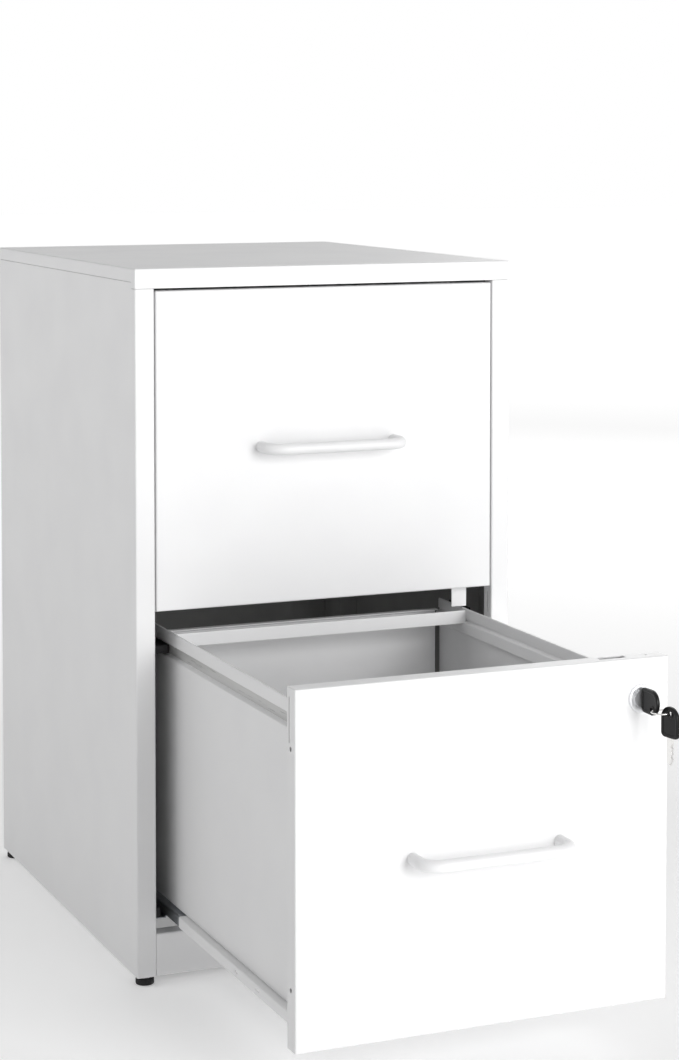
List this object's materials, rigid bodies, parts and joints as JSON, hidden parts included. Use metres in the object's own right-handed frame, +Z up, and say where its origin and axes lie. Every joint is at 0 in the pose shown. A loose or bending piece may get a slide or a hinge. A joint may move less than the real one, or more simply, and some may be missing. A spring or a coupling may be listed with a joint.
{
  "type": "filing cabinet",
  "caption": "Upright filing cabinet of folded steel sheet with drawers on telescopic runners, bar handles, a key lock and levelling feet.",
  "frame": {"origin": "on the floor, under the middle of the bounding box with the lower drawer open 322 mm", "axes": "+X right and +Y back as seen from the front, +Z up"},
  "size_m": [0.362, 0.8052, 0.631],
  "materials": {
    "white_enamel": "smooth satin powder coat",
    "runner_steel": "zinc plated, rolled",
    "zinc_steel": "bright zinc plated",
    "lock_chrome": "polished plating",
    "key_steel": "nickel plated",
    "key_plastic": "moulded, satin gloss",
    "black_nylon": "moulded, matte",
    "foot_rubber": "moulded, matte"
  },
  "bodies": {
    "cabinet": {"top_panel": "white_enamel", "side_panel_left": "white_enamel", "side_panel_right": "white_enamel", "back_panel": "white_enamel", "kick_plate": "white_enamel", "rear_rail": "white_enamel", "cross_rail": "white_enamel", "lock_strike": "white_enamel", "front_uprights": "white_enamel", "rear_uprights": "white_enamel", "side_guides": "black_nylon", "rail_bumpers": "black_nylon", "foot_nuts": "zinc_steel", "upper_rail_left": "runner_steel", "upper_rail_right": "runner_steel", "lower_rail_left": "runner_steel", "lower_rail_right": "runner_steel"},
    "upper_drawer": {"upper_front_pan": "white_enamel", "upper_inner_front": "white_enamel", "upper_wall_left": "white_enamel", "upper_wall_right": "white_enamel", "upper_back_wall": "white_enamel", "upper_bottom": "white_enamel", "upper_hook_rails": "white_enamel", "upper_runner_left": "white_enamel", "upper_runner_right": "white_enamel", "upper_handle": "white_enamel", "upper_handle_screws": "zinc_steel"},
    "lower_drawer": {"lower_front_pan": "white_enamel", "lower_inner_front": "white_enamel", "lower_wall_left": "white_enamel", "lower_wall_right": "white_enamel", "lower_back_wall": "white_enamel", "lower_bottom": "white_enamel", "lower_hook_rails": "white_enamel", "lower_runner_left": "white_enamel", "lower_runner_right": "white_enamel", "lower_handle": "white_enamel", "lower_handle_screws": "zinc_steel", "lock_housing": "lock_chrome"},
    "upper_middle_left": {"upper_middle_left": "runner_steel"},
    "upper_middle_right": {"upper_middle_right": "runner_steel"},
    "lower_middle_left": {"lower_middle_left": "runner_steel"},
    "lower_middle_right": {"lower_middle_right": "runner_steel"},
    "foot_front_left": {"foot_pad_front_left": "foot_rubber", "foot_stud_front_left": "zinc_steel"},
    "foot_front_right": {"foot_pad_front_right": "foot_rubber", "foot_stud_front_right": "zinc_steel"},
    "foot_rear_left": {"foot_pad_rear_left": "foot_rubber", "foot_stud_rear_left": "zinc_steel"},
    "foot_rear_right": {"foot_pad_rear_right": "foot_rubber", "foot_stud_rear_right": "zinc_steel"},
    "lock_core": {"lock_plug": "lock_chrome", "lock_cam": "zinc_steel", "lock_nut": "zinc_steel"},
    "key": {"key_grip": "key_plastic", "key_blade": "key_steel"},
    "ring": {"key_ring": "key_steel"},
    "spare_key": {"spare_key_grip": "key_plastic", "spare_key_blade": "key_steel"}
  },
  "joints": [
    {"name": "upper_drawer_slide", "type": "slide", "parent": "cabinet", "child": "upper_drawer", "axis": [0, -1, 0], "range_m": [0, 0.34]},
    {"name": "lower_drawer_slide", "type": "slide", "parent": "cabinet", "child": "lower_drawer", "axis": [0, -1, 0], "range_m": [-0.322, 0.018]},
    {"name": "upper_middle_left_slide", "type": "slide", "parent": "cabinet", "child": "upper_middle_left", "axis": [0, -1, 0], "range_m": [0, 0.17]},
    {"name": "upper_middle_right_slide", "type": "slide", "parent": "cabinet", "child": "upper_middle_right", "axis": [0, -1, 0], "range_m": [0, 0.17]},
    {"name": "lower_middle_left_slide", "type": "slide", "parent": "cabinet", "child": "lower_middle_left", "axis": [0, -1, 0], "range_m": [-0.161, 0.009]},
    {"name": "lower_middle_right_slide", "type": "slide", "parent": "cabinet", "child": "lower_middle_right", "axis": [0, -1, 0], "range_m": [-0.161, 0.009]},
    {"name": "foot_front_left_turn", "type": "hinge", "parent": "cabinet", "child": "foot_front_left", "pos_m": [-0.171, -0.0274, 0], "axis": [0, 0, 1], "continuous": true},
    {"name": "foot_front_right_turn", "type": "hinge", "parent": "cabinet", "child": "foot_front_right", "pos_m": [0.171, -0.0274, 0], "axis": [0, 0, 1], "continuous": true},
    {"name": "foot_rear_left_turn", "type": "hinge", "parent": "cabinet", "child": "foot_rear_left", "pos_m": [-0.171, 0.3926, 0], "axis": [0, 0, 1], "continuous": true},
    {"name": "foot_rear_right_turn", "type": "hinge", "parent": "cabinet", "child": "foot_rear_right", "pos_m": [0.171, 0.3926, 0], "axis": [0, 0, 1], "continuous": true},
    {"name": "lock_turn", "type": "hinge", "parent": "lower_drawer", "child": "lock_core", "pos_m": [0.137, -0.3594, 0.296], "axis": [0, 1, 0], "range_deg": [0, 90]},
    {"name": "key_pull", "type": "slide", "parent": "lock_core", "child": "key", "axis": [0, -1, 0], "range_m": [0, 0.024]},
    {"name": "ring_swing", "type": "hinge", "parent": "key", "child": "ring", "pos_m": [0.137, -0.3786, 0.29], "axis": [1, 0, 0], "range_deg": [0, 35]},
    {"name": "spare_key_swing", "type": "hinge", "parent": "ring", "child": "spare_key", "pos_m": [0.1447, -0.3925, 0.29], "axis": [1, 0, 0], "range_deg": [-60, 0]}
  ],
  "couplings": [
    {"joint": "upper_middle_left_slide", "follows": "upper_drawer_slide", "ratio": 0.5},
    {"joint": "upper_middle_right_slide", "follows": "upper_drawer_slide", "ratio": 0.5},
    {"joint": "lower_middle_left_slide", "follows": "lower_drawer_slide", "ratio": 0.5},
    {"joint": "lower_middle_right_slide", "follows": "lower_drawer_slide", "ratio": 0.5}
  ]
}
